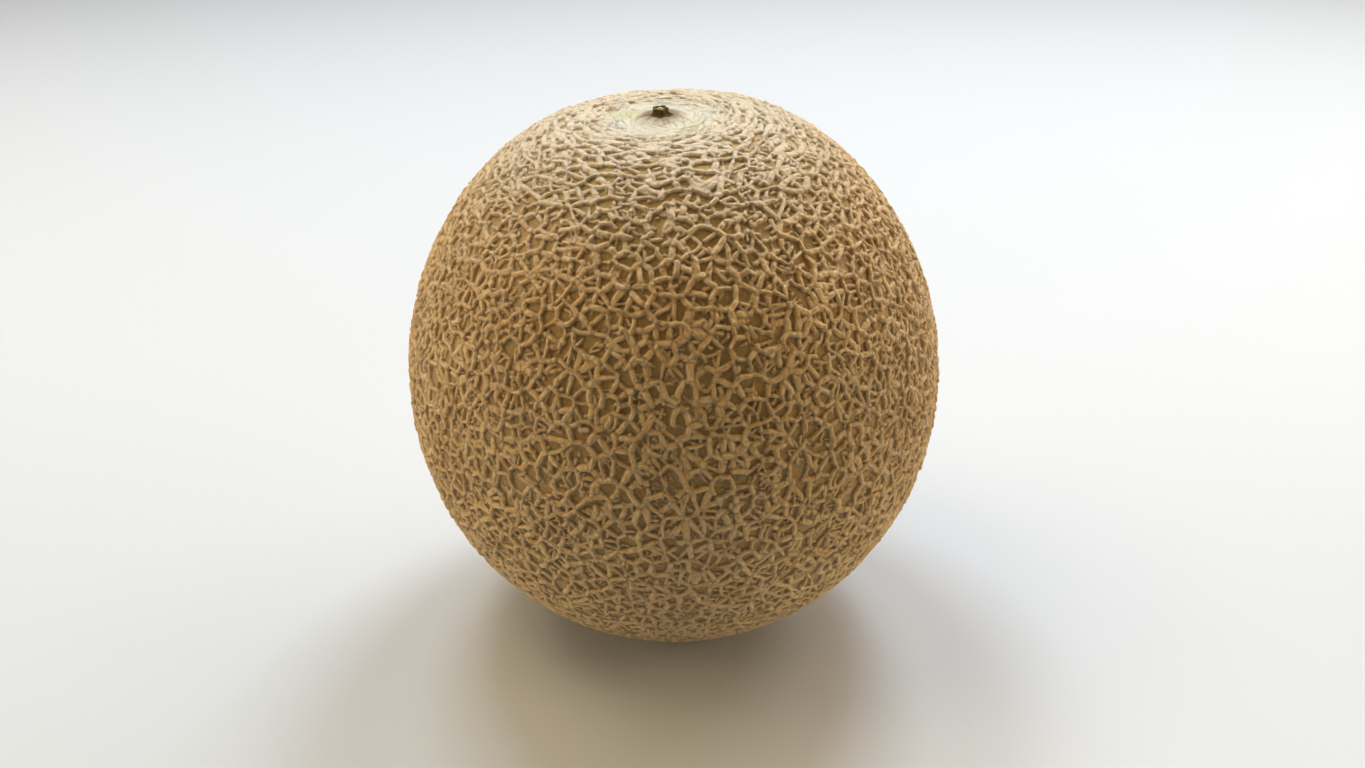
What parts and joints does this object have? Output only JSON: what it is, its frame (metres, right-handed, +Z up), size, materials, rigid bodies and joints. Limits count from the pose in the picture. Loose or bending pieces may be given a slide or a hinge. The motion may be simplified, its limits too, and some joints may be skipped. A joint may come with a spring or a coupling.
{
  "type": "cantaloupe melon",
  "caption": "Whole netted cantaloupe melon standing on its flattened underside, with a pale stem scar and the dried stub of its stalk on top.",
  "frame": {"origin": "in the plane of the flat resting spot, under the middle of the fruit's box", "axes": "+Z up, along the fruit's longest extent; the stem axis leans 2.5 degrees from it towards -X and 1.5 degrees towards -Y, which is the front"},
  "size_m": [0.15, 0.149, 0.156],
  "materials": {
    "rind": "matte",
    "dried_stalk": "matte"
  },
  "bodies": {
    "root": {"melon": "rind", "stem_stub": "dried_stalk"}
  },
  "joints": []
}
